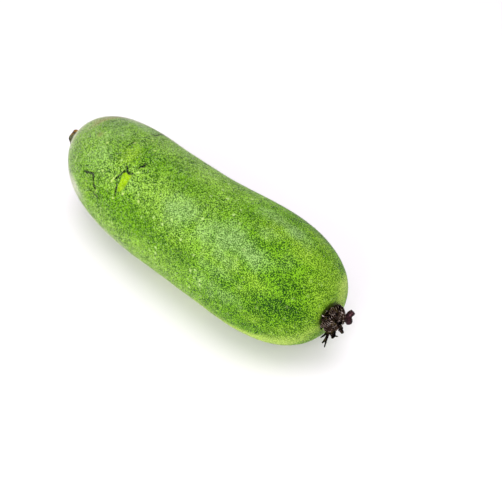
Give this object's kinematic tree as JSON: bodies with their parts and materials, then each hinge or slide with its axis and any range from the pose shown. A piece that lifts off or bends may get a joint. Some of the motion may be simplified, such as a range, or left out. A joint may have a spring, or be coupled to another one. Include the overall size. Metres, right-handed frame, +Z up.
{
  "type": "wax gourd",
  "caption": "Small green wax gourd lying on its side, a long blunt fruit with a slight bend, a cut corky stem and a shrivelled dark flower left at the other end.",
  "frame": {"origin": "on the ground, below the middle of the whole object's box", "axes": "+X along the fruit towards its dried flower, with the stem at -X; +Z up. The fruit bends a little towards -Y"},
  "size_m": [0.2606, 0.0776, 0.0712],
  "materials": {
    "skin": "living green rind, finely mottled, with a thin wax bloom and short hairs",
    "cork": "dry corky stalk, ridged and rough",
    "dried_petal": "shrivelled dark brown petals, matt with a few shiny folds",
    "dried_stigma": "dried reddish brown, slightly glossy"
  },
  "bodies": {
    "root": {"fruit": "skin", "stem": "cork", "dried_flower": "dried_petal", "dried_style": "dried_stigma"}
  },
  "joints": []
}
